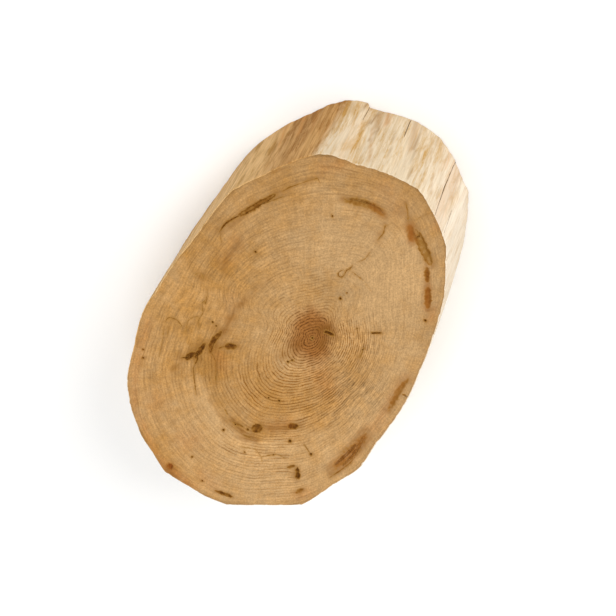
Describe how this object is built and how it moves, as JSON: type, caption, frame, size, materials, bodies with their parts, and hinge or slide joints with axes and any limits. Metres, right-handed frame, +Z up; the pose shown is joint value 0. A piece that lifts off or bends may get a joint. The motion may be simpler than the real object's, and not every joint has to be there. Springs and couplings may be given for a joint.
{
  "type": "wood slice",
  "caption": "Thick oval slice of a tree trunk with its bark peeled off, a hewn side and bare end grain on both faces; a board, riser or rustic stand.",
  "frame": {"origin": "on the surface that the slice lies on, under the middle of its box", "axes": "+Z up out of the smaller cut face, through the thickness; +X along the long axis, towards the swollen end; +Y completes a right-handed frame"},
  "size_m": [0.4568, 0.2888, 0.1],
  "materials": {
    "peeled_wood": "dry planed end grain, matt, with a paler hewn side"
  },
  "bodies": {
    "root": {"wood_slice": "peeled_wood"}
  },
  "joints": []
}
